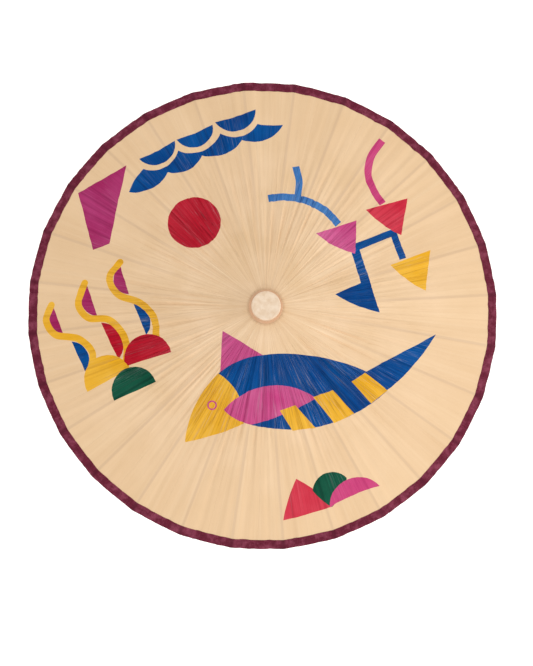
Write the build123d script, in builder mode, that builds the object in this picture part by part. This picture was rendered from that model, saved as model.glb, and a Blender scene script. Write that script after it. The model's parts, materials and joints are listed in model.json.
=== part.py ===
"""Oil paper umbrella: 28 bamboo ribs and stretchers on a wooden head and runner, a paper canopy
with a bound rim, a cap, and a spring catch that holds it open. Millimetres, shown open.

+Z runs up the pole, from the handle to the cap. The origin is on the pole's axis, half-way along
the handle's grip.
"""

from build123d import *
from math import cos, radians, sin, tan
import os

# Driving dimensions
rib_count = 28
first_azimuth = 5.0
canopy_slope = 19.0
canopy_radius = 410.0
pivot_radius = 17.0
pivot_height = 475.0
link_length = 180.0

# Pole, handle and their joint
pole_radius = 6.5
grip_radius = 9.0
grip_length = 100.0
grip_end = 8.0
grip_end_flat_radius = 4.5
grip_neck_radius = 7.4
grip_neck = 10.0
pole_bottom = -30.0
pole_top = pivot_height + 12.0

# Head and runner
hub_radius = 20.5
hub_neck_radius = 12.0
slot_floor_radius = 13.0
slot_width = 2.0
head_below_pivot = 8.0
crown_above_pivot = 3.2
crown_below_pivot = 6.0
slot_below_pivot = 2.8
runner_sleeve_radius = 10.5
runner_below_pivot = 38.0
runner_bead_radius = 12.0
runner_bead_height = 5.0
runner_bead_bevel = 1.5
crown_flare = 6.0
runner_clearance = 0.06
wire_radius = 0.5
wire_eye_radius = 0.58

# Ribs
blade_thickness = 1.4
rib_width = 4.0
rib_tip_width = 3.0
rib_top = 3.1
rib_underside = -0.1
rib_tip_underside = 1.3
rib_eye_radius = 2.2
rib_heel = -1.4
rib_heel_top = 1.6
rib_shoulder = 0.5
rib_underside_from = 14.0
rib_end_radius = 405.0
blade_length = 9.0
rib_full_width_at = 45.0
rib_taper_from = 300.0
lug_half_length = 5.0
lug_underside = -2.2
lug_run_in = 10.0
lug_run_out = 13.0
notch_inward = 6.0
notch_outward = 12.0
notch_top = 2.3
pin_radius = 0.5
pin_clearance = 0.05

# Stretchers
stretcher_width = 3.0
stretcher_half_depth = 1.3
stretcher_eye_radius = 1.9
tongue_length = 12.0
tongue_run_out = 18.0
stretcher_blade = 10.0
stretcher_blade_run_out = 16.0

# Paper, rim binding and cap
paper_gap = 0.3
paper_thickness = 0.42
binding_thickness = 0.4
binding_width = 14.0
paper_setback = 0.5
paper_hole_radius = 14.0
cap_radius = 26.0
cap_lip_radius = 29.0
cap_lip_height = 2.5
cap_height = 18.0
cap_edge = 2.5
cap_socket_radius = 10.0

# Spring catch
catch_hinge_x = 1.5
catch_length = 32.0
catch_width = 3.0
catch_nose = 9.2
catch_nose_height = 1.5
catch_root = 1.6
catch_shoulder = 8.0
catch_inset = 0.4
catch_tip_back = 2.2
catch_bend_back = 2.8
catch_gap = 0.3
catch_eye_radius = 2.0
catch_pin_radius = 0.6
catch_pin_length = 12.4
pocket_width = 3.6
pocket_back = -0.5
pocket_below = 2.5
pocket_above = 2.0

# How far cutting shapes reach past what they cut
margin = 1.0
wide_margin = 5.0

slope = radians(canopy_slope)
runner_pivot_height = pivot_height - 2 * link_length * sin(slope)
rib_length = (rib_end_radius - pivot_radius) / cos(slope)
runner_bottom = runner_pivot_height - runner_below_pivot
catch_top = runner_bottom - catch_gap
catch_hinge_height = catch_top - catch_length
pitch = 360 / rib_count

# Each rib is drawn in its own side view: x runs out along the line from the head pivot to the
# stretcher pivot, y stands up off that line. The plan view has the same x, and y across the rib.
head_pivot = Vector(pivot_radius, 0, pivot_height)
runner_pivot = Vector(pivot_radius, 0, runner_pivot_height)
rib_line = Vector(cos(slope), 0, -sin(slope))
rib_up = Vector(sin(slope), 0, cos(slope))
stretcher_line = Vector(cos(slope), 0, sin(slope))
stretcher_up = Vector(-sin(slope), 0, cos(slope))
sideways = Vector(0, -1, 0)
rib_side = Plane(origin=head_pivot, x_dir=rib_line, z_dir=sideways)
rib_plan = Plane(origin=head_pivot, x_dir=rib_line, z_dir=rib_up)
stretcher_side = Plane(origin=runner_pivot, x_dir=stretcher_line, z_dir=sideways)
stretcher_plan = Plane(origin=runner_pivot, x_dir=stretcher_line, z_dir=stretcher_up)
middle = Plane.XZ


def cone_height(radius, lift):
    """Height at a radius of the cone that stands lift above the pivot lines of the open ribs."""
    return pivot_height + lift - (radius - pivot_radius) * tan(slope)


def cone_block(lift, outer, inner):
    """A 28-sided solid under that cone, from the outer radius up to the inner one."""
    with BuildPart() as block:
        for radius in (outer, inner):
            with BuildSketch(Plane.XY.offset(cone_height(radius, lift))):
                RegularPolygon(radius, rib_count, rotation=first_azimuth)
        loft(ruled=True)
    return block.part


os.makedirs("parts", exist_ok=True)


# Pole: a straight round stick, with the catch's pocket cut into its side
with BuildPart() as pole:
    with BuildSketch(Plane.XY.offset(pole_bottom)):
        Circle(pole_radius)
    extrude(amount=pole_top - pole_bottom)
    with BuildSketch(middle):
        with Locations((pocket_back, catch_hinge_height - pocket_below)):
            Rectangle(
                pole_radius + margin - pocket_back,
                catch_length + pocket_below + pocket_above,
                align=(Align.MIN, Align.MIN),
            )
    extrude(amount=pocket_width / 2, both=True, mode=Mode.SUBTRACT)
    with BuildSketch(middle):
        with Locations((catch_hinge_x, catch_hinge_height)):
            Circle(catch_pin_radius)
    extrude(amount=catch_pin_length / 2, both=True, mode=Mode.SUBTRACT)
pole.part.label = "pole"

# Catch pin: across the pole's pocket
with BuildPart() as catch_pin:
    with BuildSketch(middle):
        with Locations((catch_hinge_x, catch_hinge_height)):
            Circle(catch_pin_radius)
    extrude(amount=catch_pin_length / 2, both=True)
catch_pin.part.label = "catch_pin"

# Handle: a turned grip with a rounded end, glued over the pole's lower end
with BuildPart() as handle:
    with BuildSketch(middle):
        with BuildLine():
            Polyline(
                (0, -grip_length / 2 - grip_end),
                (grip_end_flat_radius, -grip_length / 2 - grip_end),
            )
            EllipticalCenterArc(
                (grip_end_flat_radius, -grip_length / 2),
                grip_radius - grip_end_flat_radius,
                grip_end,
                start_angle=270,
                arc_size=90,
            )
            Polyline(
                (grip_radius, -grip_length / 2),
                (grip_radius, grip_length / 2),
                (grip_neck_radius, grip_length / 2 + grip_neck),
                (pole_radius, grip_length / 2 + grip_neck),
                (pole_radius, pole_bottom),
                (0, pole_bottom),
                (0, -grip_length / 2 - grip_end),
            )
        make_face()
    revolve(axis=Axis.Z)
handle.part.label = "handle"

# Head: the wooden hub glued on the pole, with a slot for each rib and a groove for the wire
head_shoulder = rib_top / cos(slope)
with BuildPart() as head:
    with BuildSketch(middle):
        with BuildLine():
            Polyline(
                (pole_radius, pivot_height - head_below_pivot),
                (hub_radius, pivot_height - head_below_pivot),
                (hub_radius, cone_height(hub_radius, head_shoulder)),
                (hub_neck_radius, cone_height(hub_neck_radius, head_shoulder)),
                (cap_socket_radius, cone_height(hub_neck_radius, head_shoulder)),
                (cap_socket_radius, pole_top),
                (pole_radius, pole_top),
                close=True,
            )
        make_face()
    revolve(axis=Axis.Z)
    with BuildSketch(Plane.XY.offset(pivot_height - head_below_pivot)):
        with PolarLocations(slot_floor_radius, rib_count, start_angle=first_azimuth):
            Rectangle(hub_radius, slot_width, align=(Align.MIN, Align.CENTER))
    extrude(amount=head_below_pivot + hub_radius, mode=Mode.SUBTRACT)
    with Locations((0, 0, pivot_height)):
        Torus(pivot_radius, wire_radius, mode=Mode.SUBTRACT)
head.part.label = "head"

# Head wire: the ring through the head's walls and the rib eyes
with BuildPart() as head_wire:
    with Locations((0, 0, pivot_height)):
        Torus(pivot_radius, wire_radius)
head_wire.part.label = "head_wire"

# Cap: flat-topped, with a small lip, hollowed underneath to follow the paper
cap_underside = (rib_top + paper_gap) / cos(slope) + paper_thickness + paper_gap
cap_foot = cone_height(cap_lip_radius, cap_underside)
with BuildPart() as cap:
    with BuildSketch(middle):
        with BuildLine():
            Polyline(
                (cap_socket_radius, cone_height(cap_socket_radius, cap_underside)),
                (cap_lip_radius, cap_foot),
                (cap_lip_radius, cap_foot + cap_lip_height),
                (cap_radius, cap_foot + cap_lip_height),
                (cap_radius, cap_foot + cap_height),
                (0, cap_foot + cap_height),
                (0, pole_top),
                (cap_socket_radius, pole_top),
                close=True,
            )
        make_face()
    revolve(axis=Axis.Z)
    fillet(cap.edges().filter_by(GeomType.CIRCLE).group_by(Axis.Z)[-1], cap_edge)
cap.part.label = "cap"

pole_head_and_cap = Compound(
    label="pole_head_and_cap",
    children=[pole.part, catch_pin.part, handle.part, head.part, head_wire.part, cap.part],
)
export_step(pole_head_and_cap, "parts/pole_head_and_cap.step")

# Runner: a sleeve that slides on the pole, with a slotted crown for the stretchers
with BuildPart() as runner:
    with BuildSketch(middle):
        with BuildLine():
            Polyline(
                (pole_radius + runner_clearance, runner_bottom),
                (runner_bead_radius, runner_bottom),
                (runner_bead_radius, runner_bottom + runner_bead_height),
                (runner_sleeve_radius, runner_bottom + runner_bead_height + runner_bead_bevel),
                (runner_sleeve_radius, runner_pivot_height - crown_below_pivot - crown_flare),
                (hub_radius, runner_pivot_height - crown_below_pivot),
                (hub_radius, runner_pivot_height + crown_above_pivot),
                (pole_radius + runner_clearance, runner_pivot_height + crown_above_pivot),
                close=True,
            )
        make_face()
    revolve(axis=Axis.Z)
    with BuildSketch(Plane.XY.offset(runner_pivot_height - slot_below_pivot)):
        with PolarLocations(slot_floor_radius, rib_count, start_angle=first_azimuth):
            Rectangle(hub_radius, slot_width, align=(Align.MIN, Align.CENTER))
    extrude(amount=slot_below_pivot + hub_radius, mode=Mode.SUBTRACT)
    with Locations((0, 0, runner_pivot_height)):
        Torus(pivot_radius, wire_radius, mode=Mode.SUBTRACT)
runner.part.label = "runner"

# Runner wire: the ring through the crown's walls and the stretcher eyes
with BuildPart() as runner_wire:
    with Locations((0, 0, runner_pivot_height)):
        Torus(pivot_radius, wire_radius)
runner_wire.part.label = "runner_wire"

runner_and_wire = Compound(label="runner_and_wire", children=[runner.part, runner_wire.part])
export_step(runner_and_wire, "parts/runner_and_wire.step")

# Spring catch: a tongue in the pole's pocket, its nose just under the runner
with BuildPart() as spring_catch:
    with BuildSketch(Plane(origin=(0, 0, catch_hinge_height), x_dir=(1, 0, 0), z_dir=(0, -1, 0))):
        with BuildLine():
            Polyline(
                (catch_hinge_x - catch_root, 0),
                (catch_hinge_x + catch_root, 0),
                (pole_radius - catch_inset, catch_length - catch_shoulder),
                (catch_nose, catch_length - catch_nose_height),
                (catch_nose, catch_length),
                (pole_radius - catch_tip_back, catch_length),
                (pole_radius - catch_bend_back, catch_length - catch_shoulder),
                close=True,
            )
        make_face()
        with Locations((catch_hinge_x, 0)):
            Circle(catch_eye_radius)
            Circle(catch_pin_radius + pin_clearance, mode=Mode.SUBTRACT)
    extrude(amount=catch_width / 2, both=True)
spring_catch.part.label = "spring_catch"
export_step(spring_catch.part, "parts/spring_catch.step")

# Paper canopy: a 28-sided cone of thin paper, flat between each rib and the next
paper_underside = (rib_top + paper_gap) / cos(slope)
paper_topside = paper_underside + paper_thickness
paper_radius = canopy_radius - paper_setback
with BuildPart() as paper:
    add(cone_block(paper_topside, paper_radius, paper_hole_radius))
    below_paper = cone_block(
        paper_underside, paper_radius + wide_margin, paper_hole_radius - wide_margin
    )
    add(below_paper, mode=Mode.SUBTRACT)
paper.part.label = "paper"

# Rim binding: a strip glued on the paper's edge, standing a little past it
binding_topside = paper_topside + binding_thickness
binding_inner = canopy_radius - binding_width
with BuildPart() as binding:
    add(cone_block(binding_topside, canopy_radius, binding_inner))
    below_binding = cone_block(
        paper_topside, canopy_radius + wide_margin, binding_inner - wide_margin
    )
    add(below_binding, mode=Mode.SUBTRACT)
binding.part.label = "binding"

paper_canopy_and_binding = Compound(
    label="paper_canopy_and_binding", children=[paper.part, binding.part]
)
export_step(paper_canopy_and_binding, "parts/paper_canopy_and_binding.step")

# Rib: a thin blade with an eye at the head, widening to a flat stick that carries the paper, with
# a notched lug where the stretcher's tongue turns
with BuildPart() as rib:
    with BuildSketch(rib_side):
        with BuildLine():
            Polyline(
                (0, -rib_eye_radius),
                (rib_underside_from, rib_underside),
                (link_length - lug_run_in, rib_underside),
                (link_length - lug_half_length, lug_underside),
                (link_length + lug_half_length, lug_underside),
                (link_length + lug_run_out, rib_underside),
                (rib_length, rib_tip_underside),
                (rib_length, rib_top),
                (rib_shoulder, rib_top),
                (rib_heel, rib_heel_top),
                close=True,
            )
        make_face()
        Circle(rib_eye_radius)
    extrude(amount=rib_width / 2, both=True)
    with BuildSketch(rib_plan):
        with BuildLine():
            outline = Polyline(
                (-rib_eye_radius - margin, 0),
                (-rib_eye_radius - margin, blade_thickness / 2),
                (blade_length, blade_thickness / 2),
                (rib_full_width_at, rib_width / 2),
                (rib_taper_from, rib_width / 2),
                (rib_length + margin, rib_tip_width / 2),
                (rib_length + margin, 0),
            )
            mirror(outline, about=Plane.XZ)
        make_face()
    extrude(amount=rib_width * 2, both=True, mode=Mode.INTERSECT)
    with BuildSketch(rib_side):
        with Locations((link_length - notch_inward, notch_top)):
            Rectangle(
                notch_inward + notch_outward,
                notch_top - lug_underside + margin,
                align=(Align.MIN, Align.MAX),
            )
    extrude(amount=slot_width / 2, both=True, mode=Mode.SUBTRACT)
    with BuildSketch(rib_side):
        Circle(wire_eye_radius)
        with Locations((link_length, 0)):
            Circle(pin_radius)
    extrude(amount=rib_width, both=True, mode=Mode.SUBTRACT)
rib.part.label = "rib"

# Rib pin: fixed in the lug's cheeks, through the stretcher's tongue
with BuildPart() as rib_pin:
    with BuildSketch(rib_side):
        with Locations((link_length, 0)):
            Circle(pin_radius)
    extrude(amount=rib_width / 2, both=True)
rib_pin.part.label = "rib_pin"

# Stretcher: a stick with a thin blade and an eye at each end
with BuildPart() as stretcher:
    with BuildSketch(stretcher_side):
        with Locations((link_length / 2, 0)):
            Rectangle(link_length, 2 * stretcher_half_depth)
        with Locations((0, 0), (link_length, 0)):
            Circle(stretcher_eye_radius)
    extrude(amount=stretcher_width / 2, both=True)
    with BuildSketch(stretcher_plan):
        with BuildLine():
            outline = Polyline(
                (-stretcher_eye_radius - margin, 0),
                (-stretcher_eye_radius - margin, blade_thickness / 2),
                (stretcher_blade, blade_thickness / 2),
                (stretcher_blade_run_out, stretcher_width / 2),
                (link_length - tongue_run_out, stretcher_width / 2),
                (link_length - tongue_length, blade_thickness / 2),
                (link_length + stretcher_eye_radius + margin, blade_thickness / 2),
                (link_length + stretcher_eye_radius + margin, 0),
            )
            mirror(outline, about=Plane.XZ)
        make_face()
    extrude(amount=stretcher_width * 2, both=True, mode=Mode.INTERSECT)
    with BuildSketch(stretcher_side):
        Circle(wire_eye_radius)
        with Locations((link_length, 0)):
            Circle(pin_radius + pin_clearance)
    extrude(amount=stretcher_width, both=True, mode=Mode.SUBTRACT)
stretcher.part.label = "stretcher"

# One rib with its pin, and one stretcher, at each azimuth round the pole
for number in range(1, rib_count + 1):
    azimuth = first_azimuth + (number - 1) * pitch
    rib_and_pin = Compound(
        label=f"rib_{number:02d}",
        children=[rib.part.rotate(Axis.Z, azimuth), rib_pin.part.rotate(Axis.Z, azimuth)],
    )
    export_step(rib_and_pin, f"parts/rib_{number:02d}.step")
    turned_stretcher = stretcher.part.rotate(Axis.Z, azimuth)
    turned_stretcher.label = f"stretcher_{number:02d}"
    export_step(turned_stretcher, f"parts/stretcher_{number:02d}.step")
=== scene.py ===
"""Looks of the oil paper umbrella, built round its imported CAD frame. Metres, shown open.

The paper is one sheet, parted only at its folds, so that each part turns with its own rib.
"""

import bpy
import json
import math
from types import SimpleNamespace
import numpy as np
from mathutils import Matrix, Vector, noise
from mathutils.geometry import delaunay_2d_cdt

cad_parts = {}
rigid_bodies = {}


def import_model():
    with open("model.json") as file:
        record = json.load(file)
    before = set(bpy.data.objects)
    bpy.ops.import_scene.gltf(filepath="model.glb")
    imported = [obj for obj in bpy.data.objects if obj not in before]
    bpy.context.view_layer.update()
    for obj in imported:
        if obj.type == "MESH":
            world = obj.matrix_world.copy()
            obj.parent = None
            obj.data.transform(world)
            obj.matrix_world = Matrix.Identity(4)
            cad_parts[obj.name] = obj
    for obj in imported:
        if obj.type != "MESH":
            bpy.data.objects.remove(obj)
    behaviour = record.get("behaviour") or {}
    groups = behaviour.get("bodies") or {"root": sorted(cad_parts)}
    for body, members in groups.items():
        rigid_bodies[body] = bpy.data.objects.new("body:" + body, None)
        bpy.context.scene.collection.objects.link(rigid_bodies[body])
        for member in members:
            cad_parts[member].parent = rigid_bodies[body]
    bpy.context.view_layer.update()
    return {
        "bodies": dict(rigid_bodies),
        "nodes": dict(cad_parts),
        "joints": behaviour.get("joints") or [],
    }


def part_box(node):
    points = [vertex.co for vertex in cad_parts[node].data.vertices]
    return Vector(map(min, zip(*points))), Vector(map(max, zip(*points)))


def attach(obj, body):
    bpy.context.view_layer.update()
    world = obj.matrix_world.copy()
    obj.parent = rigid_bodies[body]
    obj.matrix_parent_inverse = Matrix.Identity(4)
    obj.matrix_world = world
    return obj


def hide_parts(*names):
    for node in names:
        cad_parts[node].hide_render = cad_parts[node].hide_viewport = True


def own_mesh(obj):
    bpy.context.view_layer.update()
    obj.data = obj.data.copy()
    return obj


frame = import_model()

# ---- sizes, read from the frame
joint_of = {joint["child"]: joint for joint in frame["joints"]}
rib_count = sum(name.startswith("rib_") for name in frame["bodies"])
ribs = [f"rib_{number:02d}" for number in range(1, rib_count + 1)]
head_pivot = Vector(joint_of["rib_01"]["pos_m"])
to_stretcher = Vector(joint_of["stretcher_01"]["pos_m"]) - head_pivot
slope = math.asin(-to_stretcher.z / to_stretcher.length)
travel = math.radians(joint_of["rib_01"]["range_deg"][1])
pivot_radius = head_pivot.xy.length
pivot_height = head_pivot.z
runner_height = joint_of["runner"]["pos_m"][2]
half_pitch = math.pi / rib_count
canopy_mesh = frame["nodes"]["paper_canopy_and_binding"].data
rim_radius = max(vertex.co.xy.length for vertex in canopy_mesh.vertices)
rim_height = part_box("paper_canopy_and_binding")[0].z

# Paper and binding
paper_level = 0.0036       # top of the paper above the line through a rib's two pivots
paper_thickness = 0.0004
paper_start = 0.0036       # from the head pivot, along the rib
paper_setback = 0.0016     # of the paper's edge, in from the canopy's rim
paper_fold_gap = 0.0002    # how far a half gore's line is held back from the fold
crease_drop = 0.062        # fall of the paper from a rib to the crease, per metre across
rim_roundness = 0.4        # of the edge between two ribs: 0 is a straight chord, 1 a true circle
binding_width = 0.0160
binding_thickness = 0.0004
binding_setback = 0.0006
binding_fold_gap = 0.0001  # less than the paper's, which would cover the closed binding otherwise
relief_limit = 0.0022      # the most that a wrinkle stands above or below the plain paper
gore_sag = 0.014           # fall of the paper between rib and crease, per metre of its width
settle_rounds = 4          # a cut's place depends on its width, and its width on its place

# The half-width of the strip on a rib, the crease's spread and the fold's depth are such that the
# crease lies half-way between two ribs, both when the umbrella is open and when it is closed.
closed_lean = math.pi / 2 - slope - travel
spread = math.tan(half_pitch)
crease_start = paper_level * (math.cos(closed_lean) - math.sin(slope)) / (
    math.cos(slope) - math.sin(closed_lean)
)
strip_half = spread * (
    pivot_radius + crease_start * math.cos(slope) + paper_level * math.sin(slope)
)
crease_spread = spread * math.cos(slope) / (1 + spread * crease_drop * math.sin(slope))


class RibFrame:
    """Places along a rib: out from its head pivot, across it, and up off its line."""

    def __init__(self, name):
        joint = joint_of[name]
        self.pivot = Vector(joint["pos_m"])
        self.across = Vector(joint["axis"])
        outward = Vector((self.pivot.x, self.pivot.y, 0)).normalized()
        self.azimuth = math.atan2(outward.y, outward.x)
        self.line = outward * math.cos(slope) - Vector((0, 0, math.sin(slope)))
        self.up = outward * math.sin(slope) + Vector((0, 0, math.cos(slope)))

    def points(self, out, across, up):
        """Arrays of places, as rows of x, y, z."""
        return (
            np.array(self.pivot)
            + np.outer(out, self.line)
            + np.outer(across, self.across)
            + np.outer(up, self.up)
        )

    def from_plan(self, plan):
        """Plan points on the paper, as rows of (out, across)."""
        turn = np.array(
            [
                [math.cos(self.azimuth), -math.sin(self.azimuth)],
                [math.sin(self.azimuth), math.cos(self.azimuth)],
            ]
        )
        turned = plan @ turn
        level = paper_fall(turned[:, 1])
        out = (turned[:, 0] - pivot_radius - level * math.sin(slope)) / math.cos(slope)
        return np.column_stack([out, turned[:, 1]])


def paper_fall(across):
    """Height of the plain folded paper above the rib's line."""
    return paper_level - crease_drop * np.maximum(np.abs(across) - strip_half, 0)


def crease_at(out):
    """How far across the crease is, at a distance out along the rib."""
    return strip_half + crease_spread * (out - crease_start)


def rim_at(across, setback=0.0):
    """How far out along the rib the canopy's edge is: from rib to rib, nearly a straight chord."""
    corner = rim_radius - setback
    chord = corner - np.abs(across) * spread
    radius = chord + rim_roundness * (np.sqrt(corner**2 - np.square(across)) - chord)
    return (radius - pivot_radius - paper_fall(across) * math.sin(slope)) / math.cos(slope)


# ---- painted figures, plan millimetres
def arc_between(start, end, bulge, steps=14):
    """Points from start to end along an arc that stands bulge to the left of the straight line."""
    a, b = np.array(start, float), np.array(end, float)
    chord = b - a
    half = np.linalg.norm(chord) / 2
    left = np.array([-chord[1], chord[0]]) / (2 * half)
    radius = (half**2 + bulge**2) / (2 * abs(bulge))
    side = math.copysign(1, bulge)
    centre = (a + b) / 2 + left * (bulge - side * radius)
    sweep = 2 * math.atan2(half, radius - abs(bulge)) if abs(bulge) < half else (
        2 * math.pi - 2 * math.atan2(half, abs(bulge) - radius)
    )
    first = math.atan2(*(a - centre)[::-1])
    angles = first - side * sweep * np.linspace(0, 1, steps + 1)[:-1]
    return [tuple(centre + radius * np.array([math.cos(t), math.sin(t)])) for t in angles]


def outline(*corners):
    """A closed outline of (x, y) or (x, y, bulge) corners; bulge bends the side that follows."""
    points = []
    for corner, after in zip(corners, corners[1:] + corners[:1]):
        if len(corner) == 3:
            points += arc_between(corner[:2], after[:2], corner[2])
        else:
            points.append(corner)
    return points


def disc(centre, radius, steps=48):
    """A round outline."""
    turns = np.linspace(0, 2 * math.pi, steps + 1)[:-1]
    return [(centre[0] + radius * math.cos(t), centre[1] + radius * math.sin(t)) for t in turns]


def smooth_path(points, steps=8):
    """A Catmull-Rom curve through the points."""
    p = np.array([points[0], *points, points[-1]], float)
    curve = []
    for a, b, c, d in zip(p, p[1:], p[2:], p[3:]):
        for t in np.linspace(0, 1, steps + 1)[:-1]:
            curve.append(
                0.5 * (2 * b + (c - a) * t + (2 * a - 5 * b + 4 * c - d) * t**2
                       + (3 * b - a - 3 * c + d) * t**3)
            )
    return np.array([*curve, p[-1]])


def band(path, width):
    """The outline of a brush stroke of one width along a path."""
    path = np.array(path, float)
    along = np.gradient(path, axis=0)
    along /= np.linalg.norm(along, axis=1)[:, None]
    beside = np.column_stack([-along[:, 1], along[:, 0]]) * width / 2
    return [tuple(p) for p in (*(path + beside), *(path - beside)[::-1])]


def stroke(points, width=12):
    """A brush stroke along a smooth curve through the points."""
    return band(smooth_path(points), width)


def stem(points, width=12):
    """A brush stroke with a round start."""
    edge = stroke(points, width)
    return edge + arc_between(edge[-1], edge[0], width / 2)[1:]


figures = [
    # sun and sail
    ("red", disc((-121, 151), 45.5)),
    ("magenta", outline((-239, 258), (-323, 210), (-296, 108), (-268, 118))),
    # waves: three bowls, and the crests under them
    ("blue", outline((-217, 269, -2), (-155, 301, 27))),
    ("blue", outline((-152, 303, -2), (-89, 330, 28))),
    ("blue", outline((-85, 335, -2), (-14, 358, 29))),
    ("blue", outline(
        (-234, 209, 3), (-209, 251, -16), (-149, 283, -18), (-76, 314, -15), (-11, 331, -2),
        (34, 330, 15), (-38, 301, 13), (-108, 273, 13), (-167, 243, 13),
    )),
    # mobile: strokes and triangles
    ("sky", stroke([(6, 193), (34, 196), (66, 192), (102, 175), (127, 149)], 13)),
    ("sky", stroke([(55, 252), (60, 225), (57, 196)], 12)),
    ("blue", outline((149, 113), (227, 146), (246, 94), (234, 90), (220, 130), (156, 102))),
    ("blue", outline((147, 108), (163, 108), (181, 50), (165, 46))),
    ("pink", outline((88, 131), (159, 157), (156, 98, 5))),
    ("blue", outline((120, 25), (180, 54), (198, -3, 4))),
    ("yellow", outline((218, 80), (290, 110), (280, 38, 4))),
    ("coral", outline((176, 177), (251, 201), (238, 134, 4))),
    ("rose", stroke([(208, 305), (187, 273), (182, 239), (193, 209), (206, 189)], 13)),
    # water plants: leaves, wavy stems and the stones that they stand on
    ("magenta", outline((-366, 14, -19), (-346, -39))),
    ("magenta", outline((-306, 46, -19), (-288, -8))),
    ("magenta", outline((-248, 77, -19), (-233, 28))),
    ("blue", outline((-332, -51, 17), (-308, -104))),
    ("blue", outline((-225, 11, 17), (-203, -43))),
    ("red", outline((-281, -20, 22), (-251, -84))),
    ("yellow", stem([(-368, 13), (-377, -13), (-360, -39), (-322, -46), (-297, -69), (-298, -97)])),
    ("yellow", stem([(-310, 50), (-321, 14), (-303, -11), (-266, -16), (-239, -50), (-238, -98)])),
    ("yellow", stem([(-249, 84), (-267, 58), (-252, 28), (-213, 12), (-189, -17), (-187, -56)])),
    ("red", outline((-239, -96, 43), (-160, -73))),
    ("yellow", outline((-304, -138, 44), (-232, -100))),
    ("green", outline((-258, -154, 42), (-186, -123))),
    # fish: fin, body, head, side fin, bands, tail and eye
    ("pink", outline((-73, -40), (-4, -81), (-60, -125), (-77, -112))),
    ("blue", outline((-80, -111, 6), (-5, -81, 12), (180, -107), (213, -136, 37), (-43, -191))),
    ("yellow", outline((-80, -111, -12), (-136, -226, -3), (-36, -196, -14))),
    ("pink", outline((-70, -172, 30), (88, -152, 5), (-24, -197, 4))),
    ("yellow", outline((26, -174), (52, -164), (88, -202), (48, -207))),
    ("yellow", outline((83, -150), (117, -138), (155, -177), (120, -194))),
    ("yellow", outline((149, -123), (173, -107), (213, -136), (184, -159))),
    ("blue", outline((175, -105), (298, -38, 6), (212, -136))),
    ("pink", disc((-90, -164), 8, 24)),
    ("yellow", disc((-90, -164), 5.5, 24)),
    # hills
    ("coral", outline((56, -288, 3), (120, -334, 2), (34, -359, 3))),
    ("green", outline((84, -308, 20), (143, -286, 6), (118, -336, 2))),
    ("rose", outline((114, -337, 32), (201, -299, -3))),
]


def hand_drawn(points, step=3.0, sway=0.7):
    """An outline in metres with short sides and edges that waver a little, as a brush leaves."""
    drawn = []
    for a, b in zip(points, points[1:] + points[:1]):
        pieces = max(1, round(math.dist(a, b) / step))
        for k in range(pieces):
            t = k / pieces
            x, y = a[0] + (b[0] - a[0]) * t, a[1] + (b[1] - a[1]) * t
            waver = noise.noise_vector(Vector((x, y, 0)) / 22)
            drawn.append(((x + sway * waver.x) / 1000, (y + sway * waver.y) / 1000))
    return np.array(drawn)


paints = [(colour, hand_drawn([tuple(p) for p in points])) for colour, points in figures]


def inside(points, polygon):
    """Which rows of points lie in the polygon."""
    x, y = points[:, 0], points[:, 1]
    held = np.zeros(len(points), bool)
    for (ax, ay), (bx, by) in zip(polygon, np.roll(polygon, -1, axis=0)):
        crosses = (ay > y) != (by > y)
        if crosses.any():
            at = ax + (bx - ax) * (y - ay) / (by - ay if by != ay else 1e-12)
            held ^= crosses & (x < at)
    return held


# ---- materials
making = {}                # the node tree that add() and wire() work on


def new_material(name):
    """Starts a material, which the helpers below then build, and gives it with its shader."""
    material = bpy.data.materials.new(name)
    material.use_nodes = True
    making["tree"] = material.node_tree
    return material, material.node_tree.nodes["Principled BSDF"]


def add(kind, **settings):
    node = making["tree"].nodes.new("ShaderNode" + kind)
    for key, value in settings.items():
        if key in node.inputs:
            node.inputs[key].default_value = value
        else:
            setattr(node, key, value)
    return node


def wire(out, into):
    making["tree"].links.new(out, into)


def feed(node, values):
    """Gives a node's inputs their values, each a plain value or a socket."""
    for place, value in values.items():
        if isinstance(value, bpy.types.NodeSocket):
            wire(value, node.inputs[place])
        else:
            node.inputs[place].default_value = value


def srgb(red, green, blue):
    """A colour given as 0 to 255, as linear RGBA."""
    def linear(c):
        c /= 255
        return c / 12.92 if c <= 0.04045 else ((c + 0.055) / 1.055) ** 2.4
    return (linear(red), linear(green), linear(blue), 1.0)


def attribute(add, name):
    node = add("Attribute", attribute_name=name)
    return node.outputs["Vector"]


def scaled_noise(source, scale, detail=3.0, roughness=0.5):
    """Noise of a coordinate stretched by scale."""
    stretch = add("VectorMath", operation="MULTIPLY")
    stretch.inputs[1].default_value = scale
    wire(source, stretch.inputs[0])
    texture = add("TexNoise", Scale=1.0, Detail=detail, Roughness=roughness)
    wire(stretch.outputs[0], texture.inputs["Vector"])
    return texture.outputs["Fac"]


def ramp(value, low, high, start=0.0, end=1.0):
    """value from low..high, as start..end, held at both ends."""
    node = add("MapRange")
    feed(node, {"From Min": low, "From Max": high, "To Min": start, "To Max": end, "Value": value})
    return node.outputs["Result"]


def blend_colour(factor, first, second, kind="MIX"):
    """A mix of two colours, each a colour or a socket."""
    node = add("Mix", data_type="RGBA", blend_type=kind)
    feed(node, {0: factor, 6: first, 7: second})
    return node.outputs[2]


def layered(colour, layers):
    """A colour with others laid over it in turn, each as (how much, colour)."""
    for weight, layer in layers:
        colour = blend_colour(weight, colour, layer)
    return colour


def product(a, b, operation="MULTIPLY"):
    """Two values multiplied, or joined by another operation."""
    node = add("Math", operation=operation)
    feed(node, {0: a, 1: b})
    return node.outputs[0]


def add_bump(shader, height, strength, distance):
    bump = add("Bump", Strength=strength, Distance=distance)
    wire(height, bump.inputs["Height"])
    wire(bump.outputs["Normal"], shader.inputs["Normal"])


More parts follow.
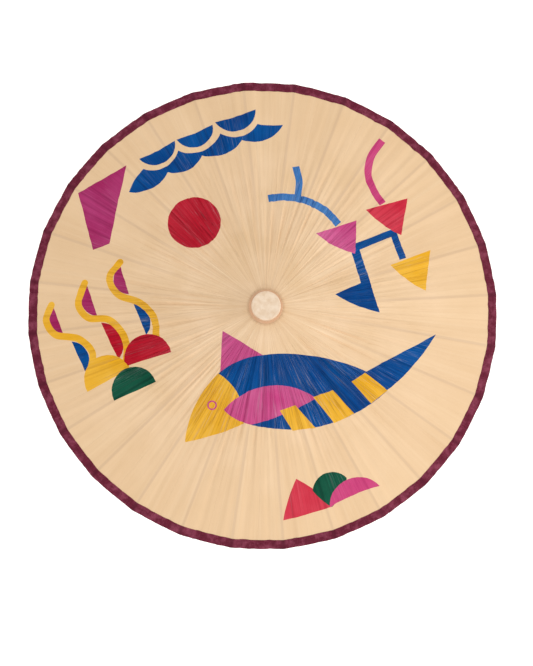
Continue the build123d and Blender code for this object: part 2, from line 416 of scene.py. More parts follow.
def fold_lines(source, scale, width):
    """Thin lines that run along the lie of a stretched noise, 1 on the line and 0 off it."""
    level = scaled_noise(source, scale, 1.0)
    off = absolute(product(level, 0.5, "SUBTRACT"))
    return ramp(off, 0.0, width, 1.0, 0.0)


def absolute(value):
    node = add("Math", operation="ABSOLUTE")
    wire(value, node.inputs[0])
    return node.outputs[0]


def paper_fields():
    """The coordinates, noises and lines that the paper and the paint on it share.

    place is the rest position; polar is (cos azimuth, sin azimuth, radius); over is the distance
    from the rib's middle, that from the crease, and how far out along the rib."""
    place = attribute(add, "place")
    polar = attribute(add, "polar")
    parts = add("SeparateXYZ")
    wire(polar, parts.inputs[0])
    radius = parts.outputs["Z"]
    over = add("SeparateXYZ")
    wire(attribute(add, "over"), over.inputs[0])
    slack = ramp(radius, 0.20, 0.33, 1.0, 0.25)
    # Fold lines: the colours use them for painted shade, the bump for relief.
    lines = fold_lines(polar, (42, 42, 5), 0.022)
    thin_lines = fold_lines(polar, (105, 105, 9), 0.028)
    outer = ramp(radius, 0.10, 0.24)
    return SimpleNamespace(
        radius=radius,
        streak=scaled_noise(polar, (60, 60, 4), 3.0, 0.6),
        fine_streak=scaled_noise(polar, (190, 190, 9), 2.0, 0.6),
        lines=product(lines, slack),
        thin_lines=product(thin_lines, slack),
        # rib: where the ribs' painted shadow lies in the paper and the paint, stronger further out.
        rib=product(ramp(over.outputs["X"], 0.0013, 0.0034, 1, 0), outer),
        crease=ramp(over.outputs["Y"], 0.0002, 0.0014, 1.0, 0.0),
        gore=scaled_noise(polar, (7, 7, 2), 1.0),
        blotch=scaled_noise(place, (14, 14, 14), 3.0),
        fibre=scaled_noise(place, (900, 900, 900), 2.0, 0.7),
        near_hub=ramp(radius, 0.03, 0.2, 1.0, 0.0),
    )


def paper_relief(shader, fields, strength):
    """The fine streaks, folds and pleats as bump."""
    def plus(height, field, weight, operation="ADD"):
        return product(height, product(field, weight), operation)

    height = plus(fields.fine_streak, fields.fibre, 0.5)
    height = plus(height, fields.lines, 1.6)
    height = plus(height, fields.streak, ramp(fields.near_hub, 0, 1, 1, 7))
    height = plus(height, fields.thin_lines, 0.9)
    height = plus(height, fields.crease, 1.2, "SUBTRACT")
    add_bump(shader, height, strength, 0.0006)


def paper_material(name, light, dark, shade, shade_and_glue_weight=1.0):
    """Oiled paper: tan, darker towards the rim, with faint fibres; painted shade in streaks that
    gather towards the middle and in fold lines, painted highlights on the pleats' ridges, the ribs'
    painted shadow, and brown glue with painted shadow round the cap.
    """
    material, shader = new_material(name)
    fields = paper_fields()
    tone = ramp(fields.blotch, 0.3, 0.7)
    # The pleats' painted shade, in streaks near the hub, and their painted highlight on the ridges.
    streak = ramp(fields.streak, 0.42, 0.72)
    streak_shade_weight = ramp(fields.near_hub, 0.0, 1.0, 0.10, 0.42)
    ridge_highlight = ramp(fields.streak, 0.46, 0.30)
    ridge_highlight_weight = ramp(fields.near_hub, 0.0, 1.0, 0.10, 0.55)
    # Brown glue round the cap's foot, together with the cap's painted shadow there.
    glue_and_cap_shadow = ramp(fields.radius, 0.029, 0.034, 0.30 * shade_and_glue_weight, 0.0)
    colour = layered(blend_colour(tone, dark, light), [
        (ramp(fields.radius, 0.10, 0.36, 0.0, 0.75), dark),
        (ramp(fields.gore, 0.35, 0.65, 0.0, 0.2), shade),
        # painted shade of the pleats, then their painted highlight on the ridges
        (product(streak, streak_shade_weight), shade),
        (product(ridge_highlight, ridge_highlight_weight), srgb(246, 222, 190)),
        (ramp(fields.fibre, 0.35, 0.75, 0.0, 0.16), light),
        # painted shade in the fold lines, and the ribs' painted shadow seen through the paper
        (product(fields.lines, 0.32 * shade_and_glue_weight), shade),
        (product(fields.rib, 0.21 * shade_and_glue_weight), srgb(168, 140, 122)),
        # brown glue with the cap's painted shadow
        (glue_and_cap_shadow, srgb(160, 108, 66)),
    ])
    gloss = ramp(fields.blotch, 0.3, 0.7, 0.42, 0.56)
    feed(shader, {"Base Color": colour, "Roughness": gloss, "Specular IOR Level": 0.25})
    paper_relief(shader, fields, 0.35)
    return material


def paint_material(name, deep, light, dark):
    """Semi-gloss paint on the paper, uneven from the brush, lighter in fine streaks and worn lines
    along the pleats, with painted shade along the pleats, the fold lines and the ribs.
    """
    material, shader = new_material(name)
    fields = paper_fields()
    worn = ramp(fields.gore, 0.46, 0.62, 0.04, 0.32)
    colour = layered(deep, [
        (ramp(fields.blotch, 0.32, 0.68, 0.0, 0.5), light),
        (ramp(fields.fine_streak, 0.60, 0.74, 0.0, 0.5), light),
        # Painted shade: darker in the pleats' streaks, on the fold lines and over the ribs.
        (ramp(fields.streak, 0.52, 0.70, 0.0, 0.4), dark),
        (product(fields.lines, 0.7), dark),
        (product(fields.rib, 0.3), dark),
        (product(fields.thin_lines, worn), srgb(206, 200, 206)),
    ])
    gloss = ramp(fields.fine_streak, 0.4, 0.7, 0.30, 0.44)
    feed(shader, {"Base Color": colour, "Roughness": gloss, "Specular IOR Level": 0.05})
    paper_relief(shader, fields, 0.6)
    return material


def binding_material():
    """Maroon strip: a ribbed weave along the rim, mottled, with painted shade over each rib where
    it folds.
    """
    material, shader = new_material("maroon_binding")
    place = attribute(add, "place")
    lengthwise = attribute(add, "along")
    parts = add("SeparateXYZ")
    wire(lengthwise, parts.inputs[0])
    thread = scaled_noise(lengthwise, (90, 1500, 0), 3.0, 0.6)
    cross = scaled_noise(lengthwise, (1100, 60, 0), 2.0, 0.6)
    fade = scaled_noise(place, (70, 70, 70), 4.0, 0.65)
    dark, mid, pale = srgb(82, 16, 36), srgb(112, 30, 52), srgb(152, 72, 94)
    from_rib = absolute(parts.outputs["X"])
    colour = layered(dark, [
        (ramp(thread, 0.35, 0.65), mid),
        (ramp(fade, 0.45, 0.70, 0.0, 0.75), pale),
        (ramp(cross, 0.5, 0.8, 0.0, 0.35), pale),
        # Painted shade over each rib, where the strip folds.
        (ramp(from_rib, 0.0015, 0.0060, 0.65, 0.0), dark),
    ])
    feed(shader, {"Base Color": colour, "Roughness": 0.6, "Specular IOR Level": 0.12})
    add_bump(shader, product(thread, cross, "ADD"), 0.6, 0.0005)
    return material


def radial_grain():
    """A coordinate with its length along the rib: object space turned to the nearest rib."""
    coordinate = add("TexCoord")
    parts = add("SeparateXYZ")
    wire(coordinate.outputs["Object"], parts.inputs[0])
    azimuth = product(parts.outputs["Y"], parts.outputs["X"], "ARCTAN2")
    azimuth = product(azimuth, RibFrame("rib_01").azimuth, "SUBTRACT")
    wrap = add("Math", operation="WRAP")
    feed(wrap, {0: azimuth, 1: half_pitch, 2: -half_pitch})
    flat = add("CombineXYZ")
    feed(flat, {"X": parts.outputs["X"], "Y": parts.outputs["Y"]})
    reach = add("VectorMath", operation="LENGTH")
    wire(flat.outputs[0], reach.inputs[0])
    across = product(reach.outputs["Value"], wrap.outputs[0])
    grain = add("CombineXYZ")
    feed(grain, {"X": reach.outputs["Value"], "Y": across, "Z": parts.outputs["Z"]})
    return grain.outputs[0]


def bamboo_material(name, light, dark, grain_source, stretch):
    """Split bamboo: long fibres, paler and darker bands, a slight skin gloss."""
    material, shader = new_material(name)
    source = grain_source()
    fibres = scaled_noise(source, stretch, 4.0, 0.65)
    broad = scaled_noise(source, tuple(0.15 * x for x in stretch), 2.0)
    colour = blend_colour(ramp(fibres, 0.3, 0.7), dark, light)
    colour = blend_colour(ramp(broad, 0.4, 0.7, 0.0, 0.5), colour, dark, "MULTIPLY")
    feed(shader, {"Base Color": colour, "Roughness": ramp(fibres, 0.3, 0.7, 0.5, 0.36)})
    add_bump(shader, fibres, 0.4, 0.0003)
    return material


def object_grain():
    return add("TexCoord").outputs["Object"]


def metal_material(name, colour):
    material, shader = new_material(name)
    source = object_grain()
    scratch = scaled_noise(source, (900, 900, 900), 3.0)
    worn = blend_colour(ramp(scratch, 0.3, 0.7, 0.0, 0.4), colour, srgb(120, 96, 60))
    gloss = ramp(scratch, 0.3, 0.7, 0.28, 0.45)
    feed(shader, {"Base Color": worn, "Metallic": 1.0, "Roughness": gloss})
    return material


paper = paper_material(
    "oiled_paper", srgb(246, 214, 177), srgb(231, 196, 153), srgb(208, 168, 124)
)
paper_under = paper_material(
    "oiled_paper_underside", srgb(222, 180, 128), srgb(210, 164, 110), srgb(186, 138, 88), 0.4
)
paint_colours = {
    "red": (srgb(180, 12, 36), srgb(206, 56, 74), srgb(128, 4, 22)),
    "coral": (srgb(202, 40, 62), srgb(222, 90, 104), srgb(158, 12, 38)),
    "magenta": (srgb(156, 26, 84), srgb(196, 78, 136), srgb(112, 12, 60)),
    "rose": (srgb(196, 54, 112), srgb(216, 98, 144), srgb(160, 34, 90)),
    "pink": (srgb(198, 62, 126), srgb(224, 124, 170), srgb(146, 26, 86)),
    "blue": (srgb(0, 60, 126), srgb(4, 98, 172), srgb(0, 28, 72)),
    "sky": (srgb(50, 112, 180), srgb(104, 152, 206), srgb(10, 56, 124)),
    "yellow": (srgb(232, 170, 34), srgb(248, 200, 88), srgb(190, 130, 26)),
    "green": (srgb(0, 66, 46), srgb(38, 108, 84), srgb(0, 38, 30)),
}
paint_materials = {
    name: paint_material(f"paint_{name}", *shades) for name, shades in paint_colours.items()
}
binding_cloth = binding_material()
rib_bamboo = bamboo_material(
    "split_bamboo", srgb(214, 170, 108), srgb(172, 122, 66), radial_grain, (30, 2200, 2200)
)
pole_bamboo = bamboo_material(
    "pole_bamboo", srgb(206, 156, 92), srgb(158, 104, 52), object_grain, (1100, 1100, 22)
)
hub_wood = bamboo_material(
    "turned_wood", srgb(196, 146, 88), srgb(146, 96, 50), object_grain, (700, 700, 60)
)
handle_wood = bamboo_material(
    "varnished_wood", srgb(150, 84, 38), srgb(92, 44, 18), object_grain, (420, 420, 22)
)
brass = metal_material("brass_wire", srgb(196, 160, 96))


def cap_material():
    """The cap's cover: pale lacquered paper, mottled, browner down its side and at its lip."""
    material, shader = new_material("cap_cover")
    source = object_grain()
    parts = add("SeparateXYZ")
    wire(source, parts.inputs[0])
    mottle = scaled_noise(source, (110, 110, 110), 4.0, 0.6)
    colour = blend_colour(
        ramp(mottle, 0.35, 0.65), srgb(224, 195, 163), srgb(238, 215, 189)
    )
    foot = ramp(parts.outputs["Z"], pivot_height + 0.002, pivot_height + 0.0165, 0.7, 0.0)
    colour = blend_colour(foot, colour, srgb(206, 148, 98))
    feed(shader, {
        "Base Color": colour, "Roughness": 0.42, "Coat Weight": 0.25, "Coat Roughness": 0.3,
    })
    add_bump(shader, mottle, 0.35, 0.0006)
    return material


cap_cover = cap_material()


# ---- mesh helpers
def link(name, mesh):
    """A new object in the scene."""
    piece = bpy.data.objects.new(name, mesh)
    bpy.context.scene.collection.objects.link(piece)
    return piece


def set_attribute(mesh, name, rows):
    field = mesh.attributes.new(name, "FLOAT_VECTOR", "POINT")
    field.data.foreach_set("vector", np.asarray(rows, np.float32).ravel())


def polar_of(points):
    radius = np.hypot(points[:, 0], points[:, 1])
    return np.column_stack([points[:, 0] / radius, points[:, 1] / radius, radius])


def solid(name, points, faces, materials, smooth_angle=35):
    """A closed piece, its faces turned outward and its edges sharp past an angle."""
    points = np.asarray(points, float)
    volume = 0.0
    for face in faces:
        for b, c in zip(face[1:], face[2:]):
            volume += np.dot(points[face[0]], np.cross(points[b], points[c]))
    if volume < 0:
        faces = [face[::-1] for face in faces]
    mesh = bpy.data.meshes.new(name)
    mesh.from_pydata(points.tolist(), [], faces)
    mesh.polygons.foreach_set("use_smooth", np.ones(len(faces), bool))
    mesh.set_sharp_from_angle(angle=math.radians(smooth_angle))
    for material in materials:
        mesh.materials.append(material)
    mesh.update()
    return link(name, mesh)


def shell(name, top, bottom, triangles, top_slots, materials, under_slot, over):
    """A thin closed piece: a top face, the same underneath, and walls round the edge."""
    count = len(top)
    triangles = np.asarray(triangles, int)
    edges = np.concatenate([triangles[:, [0, 1]], triangles[:, [1, 2]], triangles[:, [2, 0]]])
    forward = {tuple(edge) for edge in edges}
    rim = [edge for edge in forward if edge[::-1] not in forward]
    faces = [tuple(t) for t in triangles]
    faces += [tuple(t[::-1] + count) for t in triangles]
    faces += [(b, a, a + count, b + count) for a, b in rim]
    mesh = bpy.data.meshes.new(name)
    mesh.from_pydata(np.concatenate([top, bottom]).tolist(), [], faces)
    slots = np.concatenate(
        [top_slots, np.full(len(triangles), under_slot), np.full(len(rim), under_slot)]
    )
    mesh.polygons.foreach_set("material_index", slots.astype(np.int32))
    mesh.polygons.foreach_set("use_smooth", np.ones(len(faces), bool))
    sharp = {frozenset(edge) for edge in rim} | {frozenset((a + count, b + count)) for a, b in rim}
    flags = [frozenset(edge.vertices) in sharp for edge in mesh.edges]
    mesh.attributes.new("sharp_edge", "BOOLEAN", "EDGE").data.foreach_set("value", flags)
    for material in materials:
        mesh.materials.append(material)
    both = np.concatenate([top, bottom])
    set_attribute(mesh, "place", both)
    set_attribute(mesh, "polar", polar_of(both))
    set_attribute(mesh, "over", np.concatenate([over, over]))
    mesh.update()
    return link(name, mesh)


# ---- the paper canopy
columns = 14               # across half a gore
out_step = 0.0042          # between its rows
smallest_area = 1e-13      # of a triangle that is kept


def relief(out, share, width, seed):
    """Height of the soft pleats and wrinkles of half a gore, none at the rib or the crease.

    share runs from 0 at the rib's strip to 1 at the crease; width is the half gore's there."""
    held = np.sin(np.pi * share) ** 0.7 * (1 - share**6)
    slack = np.exp(-(((out - 0.13) / 0.11) ** 2))
    height = np.zeros(len(out))
    for k, (o, s) in enumerate(zip(out, share)):
        bend = s * 3.4 + 0.5 * noise.noise(Vector((o * 9, seed * 3.1, 4)))
        pleat = noise.noise(Vector((bend + seed * 7.3, o * 4, seed)))
        fine = noise.noise(Vector((s * 7 + seed * 2.9, o * 9, seed * 1.3)))
        ripple = noise.noise(Vector((o * 60, s * 1.2 + seed * 4.7, seed)))
        swell = noise.noise(Vector((o * 12, s * 1.3, seed * 5.1)))
        height[k] = (
            width[k] * (0.24 * pleat + 0.08 * fine) * (0.22 + 0.78 * slack[k])
            + 0.0003 * ripple
            + 0.0009 * swell * (1 - slack[k])
        )
    return held * (np.clip(height, -relief_limit, relief_limit) - gore_sag * width)


def paper_part(name, rib, side, seed):
    """The paper over a rib (side 0), or from it to the crease on one side (side 1 or -1)."""
    start, end = paper_start, rim_at(strip_half, paper_setback)
    rows = np.linspace(start, end, round((end - start) / out_step))
    if side:
        grid = []
        for share in np.linspace(0, 1, columns + 1):
            across = strip_half + share * (crease_at(rows) - strip_half)
            limit = rim_at(across, paper_setback)
            out = start + (rows - start) * (limit - start) / (end - start)
            grid.append(np.column_stack([out, across]))
        for _ in range(settle_rounds):
            for k, column in enumerate(grid):
                across = strip_half + (k / columns) * (crease_at(column[:, 0]) - strip_half)
                column[:, 1] = across
                column[-1, 0] = rim_at(across[-1], paper_setback)
        grid = np.array(grid)
    else:
        grid = np.array(
            [np.column_stack([rows, np.full(len(rows), y)]) for y in (-strip_half, 0, strip_half)]
        )
        grid[1, -1, 0] = rim_at(0.0, paper_setback)
    lines, length = grid.shape[:2]
    index = np.arange(lines * length).reshape(lines, length)
    border = [*index[0], *index[1:, -1], *index[-1, -2::-1], *index[-2:0:-1, 0]]
    border = [int(k) for k in border]
    cells = grid.reshape(-1, 2)
    low, high = cells.min(0) - 0.001, cells.max(0) + 0.001
    points = [Vector(p) for p in cells]
    edges = list(zip(border, border[1:] + border[:1]))
    used = []
    for colour, polygon in paints:
        local = rib.from_plan(polygon)
        if side < 0:
            local[:, 1] *= -1
        if (local.max(0) < low).any() or (local.min(0) > high).any():
            continue
        used.append((colour, local))
        near = ((local > low - 0.004) & (local < high + 0.004)).all(1)
        for k in range(len(local)):
            after = (k + 1) % len(local)
            if near[k] or near[after]:
                points += [Vector(local[k]), Vector(local[after])]
                edges.append((len(points) - 2, len(points) - 1))
    made = delaunay_2d_cdt(points, edges, [border], 1, 1e-6)
    flat = np.array([tuple(p) for p in made[0]])
    triangles = np.array([f for f in made[2] if len(f) == 3])
    middles = flat[triangles].mean(1)
    keep_in = inside(middles, cells[border])
    triangles, middles = triangles[keep_in], middles[keep_in]
    corners = flat[triangles]
    area = np.cross(corners[:, 1] - corners[:, 0], corners[:, 2] - corners[:, 0])
    whole = np.abs(area) > smallest_area
    triangles, middles, area = triangles[whole], middles[whole], area[whole]
    triangles[area < 0] = triangles[area < 0][:, ::-1]
    materials = [paper, paper_under]
    slots = np.zeros(len(triangles), int)
    for colour, polygon in used:
        held = inside(middles, polygon)
        if held.any():
            material = paint_materials[colour]
            if material not in materials:
                materials.append(material)
            slots[held] = materials.index(material)
    kept, renumbered = np.unique(triangles, return_inverse=True)
    triangles = renumbered.reshape(-1, 3)
    flat = flat[kept]
    out, across = flat[:, 0], flat[:, 1]
    over = np.column_stack([np.abs(across), crease_at(out) - np.abs(across), out])
    up = paper_fall(across)
    if side:
        width = np.maximum(crease_at(out) - strip_half, 1e-6)
        share = np.clip((across - strip_half) / width, 0, 1)
        up = up + relief(out, share, width, seed)
        across = across * side
        if side < 0:
            triangles = triangles[:, ::-1]
    top = rib.points(out, across, up)
    bottom = rib.points(out, across, up - paper_thickness)
    return shell(name, top, bottom, triangles, slots, materials, 1, over)


def fold_with_rib(piece, rib_name, rib, side, gap):
    """The piece turns with its rib.

    gap sets a line that is worked out and then not used."""
    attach(piece, rib_name)
    if side:
        Vector(rib.points([0], [side * (strip_half - gap)], [paper_level])[0])
        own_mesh(piece)
    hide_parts("paper_canopy_and_binding")


side_names = {0: "on_rib", 1: "left", -1: "right"}


def make_parts(kind, build, gap):
    """The part on each rib and the two beside it, for every rib."""
    for number, rib_name in enumerate(ribs, start=1):
        rib = RibFrame(rib_name)
        for side, side_name in side_names.items():
            seed = number * 2 + (side > 0)
            piece = build(f"{kind}_{number:02d}_{side_name}", rib, side, seed)
            fold_with_rib(piece, rib_name, rib, side, gap)


make_parts("paper", paper_part, paper_fold_gap)


# ---- the rim binding
def binding_part(name, rib, side, seed):
    """A strip folded over the canopy's edge: along the top, round the edge and back underneath."""
    lift = 0.00005             # between the strip and the paper
    top_level = lift + binding_thickness
    under = -paper_thickness - lift
    # (distance in from the paper's edge, height above the paper's top), as a closed section
    section = [
        (binding_width, lift),
        (binding_width, top_level * 0.8),
        (binding_width - 0.0006, top_level),
        (binding_width * 0.66, top_level),
        (binding_width * 0.33, top_level),
        (0.0006, top_level),
        (-0.0002, top_level * 0.7),
        (-0.0005, (top_level + under) / 2),
        (-0.0002, under - binding_thickness * 0.7),
        (0.0006, under - binding_thickness),
        (0.0035, under - binding_thickness),
        (0.0040, under - binding_thickness * 0.7),
        (0.0040, under),
        (0.0004, under),
        (0.0004, lift),
    ]
    if side:
        shares = np.linspace(0, 1, 17)
    else:
        shares = np.array([-1.0, -0.5, 0.0, 0.5, 1.0])
    vertices, along = [], []
    for share in shares:
        for inset, height in section:
            if side:
                out = rim_at(strip_half, binding_setback)
                for _ in range(settle_rounds):
                    across = strip_half + share * (crease_at(out - inset) - strip_half)
                    out = rim_at(across, binding_setback)
            else:
                across = share * strip_half
                out = rim_at(across, binding_setback)
            held = math.sin(math.pi * share) if side else 0.0
            waver = held * 0.0009 * noise.noise(Vector((across * 90 + seed * 9, inset * 90, seed)))
            if inset < binding_width / 2:
                waver = held * 0.0007 * noise.noise(Vector((across * 110, seed * 5.3, 7)))
            up = float(paper_fall(across)) + height
            if side:
                lie = out - inset, share, crease_at(out - inset) - strip_half
                up += relief(*(np.array([x]) for x in lie), seed)[0]
            vertices.append((out - inset + waver, across * (side or 1), up))
            along.append((across, inset, height))
    vertices = np.array(vertices)
    points = rib.points(vertices[:, 0], vertices[:, 1], vertices[:, 2])
    ring, lines = len(section), len(shares)
    faces = []
    for k in range(lines - 1):
        for n in range(ring):
            after = (n + 1) % ring
            quad = (k * ring + n, k * ring + after, (k + 1) * ring + after, (k + 1) * ring + n)
            faces.append(quad)
    faces.append(tuple(range(ring))[::-1])
    faces.append(tuple((lines - 1) * ring + n for n in range(ring)))
    piece = solid(name, points, faces, [binding_cloth], smooth_angle=40)
    set_attribute(piece.data, "place", points)
    set_attribute(piece.data, "along", along)
    return piece


make_parts("binding", binding_part, binding_fold_gap)


def declare_gore(number):
    """Half a gore each side of a rib: a long triangle, glued along the rib and at the rim.

    The narrow strip on the rib is listed with the left half, and the lists are then dropped."""
    goes_with = {
        "left": [f"paper_{number:02d}_on_rib", f"binding_{number:02d}_on_rib"],
        "right": [],
    }
    for side, names in goes_with.items():
        names.append(f"binding_{number:02d}_{side}")


for number in range(1, rib_count + 1):
    declare_gore(number)


# ---- turned and carved pieces
def lathe(name, profile, materials, steps=96, closed=False, wobble=0.0):
    """A turned piece: (radius, height) points spun round the pole's axis, a little uneven."""
    points, faces, rings = [], [], []
    for radius, height in profile:
        if radius < 1e-7:
            rings.append([len(points)])
            points.append((0, 0, height))
            continue
        rings.append(list(range(len(points), len(points) + steps)))
        for k in range(steps):
            turn = 2 * math.pi * k / steps
            way = Vector((math.cos(turn), math.sin(turn), height * 40))
            uneven = radius + wobble * noise.noise(way * 1.7)
            level = height + wobble * noise.noise(way * 2.9)
            points.append((uneven * way.x, uneven * way.y, level))
    pairs = list(zip(rings, rings[1:]))
    if closed:
        pairs.append((rings[-1], rings[0]))
    for a, b in pairs:
        for k in range(steps):
            after = (k + 1) % steps
            if len(a) == 1:
                faces.append((a[0], b[after], b[k]))
            elif len(b) == 1:
                faces.append((a[k], a[after], b[0]))
            else:
                faces.append((a[k], a[after], b[after], b[k]))
    return solid(name, points, faces, materials)


def rounded(start, corner, end, radius, steps=4):
    """Points of a rounded corner of a profile."""
    s, c, e = (Vector(p) for p in (start, corner, end))
    a = c + (s - c).normalized() * radius
    b = c + (e - c).normalized() * radius
    bends = (k / steps for k in range(steps + 1))
    return [tuple(a.lerp(c, t).lerp(c.lerp(b, t), t)) for t in bends]


def turned_profile(corners):
    """A profile from (radius, height) or (radius, height, rounding) corners."""
    points = []
    for k, corner in enumerate(corners):
        if len(corner) == 3:
            before, after = corners[k - 1], corners[(k + 1) % len(corners)]
            points += rounded(before[:2], corner[:2], after[:2], corner[2])
        else:
            points.append(corner)
    return points


def grooves(heights, radius, depth, half):
    """Corners of V grooves round a turned piece."""
    return [
        corner
        for height in heights
        for corner in ((radius, height - half), (radius - depth, height), (radius, height + half))
    ]


def carve(piece, blocks):
    """Cuts blocks, each eight corners, out of a piece."""
    quads = [(0, 1, 2, 3), (7, 6, 5, 4), (0, 4, 5, 1), (1, 5, 6, 2), (2, 6, 7, 3), (3, 7, 4, 0)]
    points = [corner for block in blocks for corner in block]
    faces = [tuple(8 * k + n for n in quad) for k in range(len(blocks)) for quad in quads]
    cutter = solid("cutter", points, faces, [])
    cut = piece.modifiers.new("cut", "BOOLEAN")
    cut.operation, cut.object, cut.solver = "DIFFERENCE", cutter, "EXACT"
    shaped = piece.evaluated_get(bpy.context.evaluated_depsgraph_get())
    mesh = bpy.data.meshes.new_from_object(shaped)
    piece.modifiers.clear()
    piece.data = mesh
    bpy.data.objects.remove(cutter)
    mesh.set_sharp_from_angle(angle=math.radians(35))


def block(azimuth, near, far, half_width, low, high):
    """Eight corners of a block that points out from the axis at an azimuth."""
    out = Vector((math.cos(azimuth), math.sin(azimuth), 0))
    side = Vector((-out.y, out.x, 0)) * half_width
    plan = [out * near - side, out * far - side, out * far + side, out * near + side]
    return [tuple(p + Vector((0, 0, z))) for z in (low, high) for p in plan]


def belongs(piece, body, slot, node):
    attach(piece, body)
    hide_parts(node)


hub_radius = 0.0205
slot_floor = 0.013
slot_end = 0.03
slot_half = 0.001
wire_radius = 0.0005
pole_radius = 0.0065
grip_radius = 0.0089
lip_radius = 0.029
collar_radius = 0.0102     # of the hole in the cap, round the head's neck
cone_lift = 0.00328        # of the head's top above the ribs' line
pole_top = pivot_height + 0.012
cap_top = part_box("pole_head_and_cap")[1].z
cap_foot = cap_top - 0.018
handle_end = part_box("pole_head_and_cap")[0].z
rib_azimuths = [RibFrame(name).azimuth for name in ribs]
fixed = ("pole_and_canopy", "wood", "pole_head_and_cap")
sliding = ("runner", "wood", "runner_and_wire")


def slope_height(radius, lift):
    """Height of a cone that runs parallel to the open ribs."""
    return pivot_height + lift - (radius - pivot_radius) * math.tan(slope)


def wire_ring(name, height, owner):
    section = [
        (pivot_radius + wire_radius * math.cos(t), height + wire_radius * math.sin(t))
        for t in np.linspace(0, 2 * math.pi, 13)[:-1]
    ]
    belongs(lathe(name, section, [brass], steps=168, closed=True), *owner)


def make_cap():
    """Flat-topped, with a soft edge and a rolled lip, hollow underneath."""
    lift = 0.0043
    profile = turned_profile([
        (0, pole_top + 0.0002),
        (collar_radius, pole_top + 0.0002),
        (collar_radius, slope_height(collar_radius, lift)),
        (lip_radius, cap_foot, 0.0008),
        (lip_radius, cap_foot + 0.0022, 0.0010),
        (0.0252, cap_foot + 0.0026, 0.0008),
        (0.0247, cap_top - 0.0035),
        (0.0246, cap_top, 0.0024),
        (0.0190, cap_top - 0.00025),
        (0.0120, cap_top - 0.0004),
        (0.0060, cap_top - 0.0004),
        (0, cap_top - 0.0004),
    ])
    belongs(lathe("cap", profile, [cap_cover], steps=128, wobble=0.00035), *fixed)


def make_pole():
    """A bamboo pole: its joints are shaved flush, and each leaves a fine groove."""
    corners = [(0, -0.030), (pole_radius, -0.030, 0.0004)]
    for joint_height in (0.098, 0.196, 0.310, 0.447):
        for drop, cut in ((-0.0016, 0), (-0.0004, 0.00022), (0.0004, 0.00022), (0.0016, 0)):
            corners.append((pole_radius - cut, joint_height + drop))
    corners += [(pole_radius, pole_top, 0.0004), (0, pole_top)]
    pole = lathe("pole", turned_profile(corners), [pole_bamboo], steps=64)
    catch = joint_of["spring_catch"]["pos_m"]
    low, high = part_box("spring_catch")[0].z - 0.0005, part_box("spring_catch")[1].z + 0.002
    carve(pole, [block(0, -0.0010, 0.012, 0.0018, low, high)])
    belongs(pole, *fixed)
    half, radius = 0.0062, 0.0006
    section = [(0, -half), (radius * 0.7, -half), (radius, -half + radius * 0.5)]
    section += [(r, -h) for r, h in reversed(section)]
    pin = lathe("catch_pin", section, [brass], steps=20)
    pin.data.transform(Matrix.Translation(catch) @ Matrix.Rotation(math.pi / 2, 4, "X"))
    belongs(pin, *fixed)


def make_handle():
    """A turned grip: a long belly between two pairs of grooves, and a domed end."""
    corners = [(0, handle_end), (0.0045, handle_end), (0.0076, handle_end + 0.0026)]
    corners += [(0.0088, handle_end + 0.0064), (grip_radius, -0.0478)]
    corners += grooves((-0.0460, -0.0425), grip_radius, 0.0006, 0.0007)
    for height in np.linspace(-0.038, 0.036, 9):
        belly = math.sin(math.pi * (height + 0.038) / 0.074)
        corners.append((0.0087 + 0.0003 * belly, float(height)))
    corners += grooves((0.0400, 0.0435), grip_radius, 0.0006, 0.0007)
    corners += [(0.0090, 0.0470), (0.0090, 0.0500, 0.0012), (0.0074, 0.0600, 0.0008)]
    corners += [(pole_radius, 0.0600), (pole_radius, -0.0300), (0, -0.0300)]
    belongs(lathe("handle", turned_profile(corners), [handle_wood], steps=80), *fixed)


def cut_slots(hub, low, high):
    """A slot in the hub for each rib."""
    carve(hub, [block(t, slot_floor, slot_end, slot_half, low, high) for t in rib_azimuths])


def make_head():
    """The fixed hub: a slot for each rib."""
    low = pivot_height - 0.008
    shoulder = slope_height(0.012, cone_lift)
    profile = turned_profile([
        (pole_radius, low),
        (hub_radius, low, 0.0008),
        (hub_radius, slope_height(hub_radius, cone_lift), 0.0004),
        (0.012, shoulder),
        (0.010, shoulder),
        (0.010, pole_top),
        (pole_radius, pole_top),
    ])
    head = lathe("head", profile, [hub_wood], steps=168, closed=True)
    cut_slots(head, low - 0.01, pole_top)
    belongs(head, *fixed)
    wire_ring("head_wire", pivot_height, fixed)


def make_runner():
    """The sliding hub: a slotted crown on a sleeve, with a bead where the catch holds it."""
    bore, sleeve = pole_radius + 0.00006, 0.0105
    low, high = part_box("runner_and_wire")[0].z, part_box("runner_and_wire")[1].z
    corners = [(bore, low), (0.012, low, 0.0010), (0.012, low + 0.005, 0.0010)]
    corners += [(sleeve, low + 0.0062)]
    corners += grooves((low + 0.0105, low + 0.0130), sleeve, 0.0004, 0.0005)
    corners += [
        (sleeve, runner_height - 0.012, 0.0030),
        (hub_radius, runner_height - 0.006, 0.0012),
        (hub_radius, high, 0.0006),
        (bore, high),
    ]
    runner = lathe("runner", turned_profile(corners), [hub_wood], steps=168, closed=True)
    cut_slots(runner, runner_height - 0.0028, high + 0.01)
    belongs(runner, *sliding)
    wire_ring("runner_wire", runner_height, sliding)


make_cap()
make_pole()
make_handle()
make_head()
make_runner()


# ---- the CAD's own sticks
def dress(node, material):
    mesh = frame["nodes"][node].data
    mesh.materials.clear()
    mesh.materials.append(material)


for number in range(1, rib_count + 1):
    dress(f"rib_{number:02d}", rib_bamboo)
    dress(f"stretcher_{number:02d}", rib_bamboo)
dress("spring_catch", pole_bamboo)


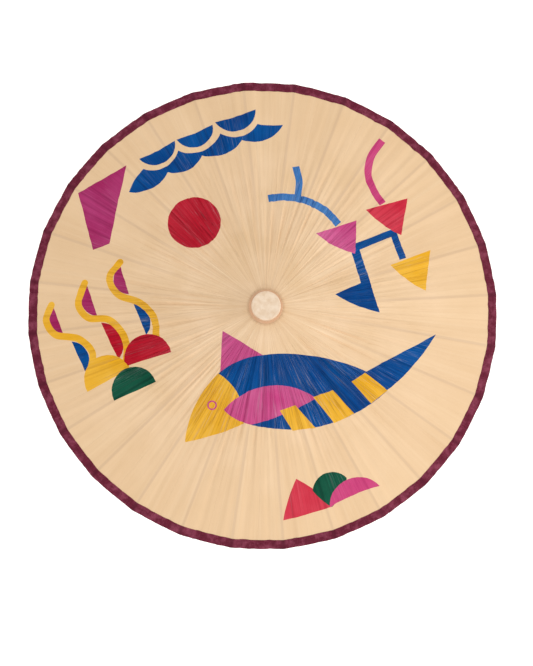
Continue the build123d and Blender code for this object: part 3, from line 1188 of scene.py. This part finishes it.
# ---- floor, light and camera
def make_floor():
    """A pale glowing floor, for the photograph's white background."""
    height = handle_end - 0.0005
    mesh = bpy.data.meshes.new("floor")
    reach = 8.0
    corners = [(-reach, -reach), (reach, -reach), (reach, reach), (-reach, reach)]
    mesh.from_pydata([(x, y, height) for x, y in corners], [], [(0, 1, 2, 3)])
    material, shader = new_material("floor")
    feed(shader, {
        "Base Color": (0.92, 0.92, 0.92, 1), "Roughness": 0.9,
        "Emission Color": (1, 1, 1, 1), "Emission Strength": 0.55,
    })
    mesh.materials.append(material)
    link("floor", mesh)


def soft_light(name, place, aim, size, power):
    """A round area lamp that points at aim."""
    lamp = bpy.data.lights.new(name, "AREA")
    lamp.shape, lamp.size, lamp.energy = "DISK", size, power
    holder = bpy.data.objects.new(name, lamp)
    holder.location = place
    holder.rotation_euler = (Vector(aim) - Vector(place)).to_track_quat("-Z", "Y").to_euler()
    bpy.context.scene.collection.objects.link(holder)


def make_camera():
    """Nearly straight down on the cap, leaning a little towards the viewer's lower left."""
    rim_centre = Vector((0, 0, rim_height))
    lean, toward = math.radians(5.6), math.radians(-111)
    view_height = 1.1608       # metres of the scene from the picture's top to its bottom
    aside, below = 0.0058, 0.0328    # from the rim's centre to the picture's
    away = Vector(
        (math.sin(lean) * math.cos(toward), math.sin(lean) * math.sin(toward), math.cos(lean))
    )
    data = bpy.data.cameras.new("camera")
    data.sensor_width = 36
    data.lens = 150
    camera = bpy.data.objects.new("camera", data)
    distance = view_height * data.lens / data.sensor_width
    screen_up = (Vector((0, 1, 0)) - away * away.y).normalized()
    screen_right = screen_up.cross(away)
    aim = rim_centre + screen_right * aside - screen_up * below
    camera.location = aim + away * distance
    turn = Matrix((screen_right, screen_up, away)).transposed()
    camera.rotation_euler = turn.to_euler()
    bpy.context.scene.collection.objects.link(camera)
    bpy.context.scene.camera = camera


def make_sky():
    world = bpy.data.worlds.new("studio")
    world.use_nodes = True
    world.node_tree.nodes["Background"].inputs["Color"].default_value = (1, 1, 1, 1)
    world.node_tree.nodes["Background"].inputs["Strength"].default_value = 0.85
    bpy.context.scene.world = world
    bpy.context.scene.view_settings.view_transform = "Standard"


make_floor()
make_sky()
soft_light("key", (3.40, -0.30, 2.40), (0, 0, 0.4), 1.3, 33)
soft_light("fill", (-0.20, -2.60, 4.00), (0, 0, 0.4), 0.9, 25)
make_camera()
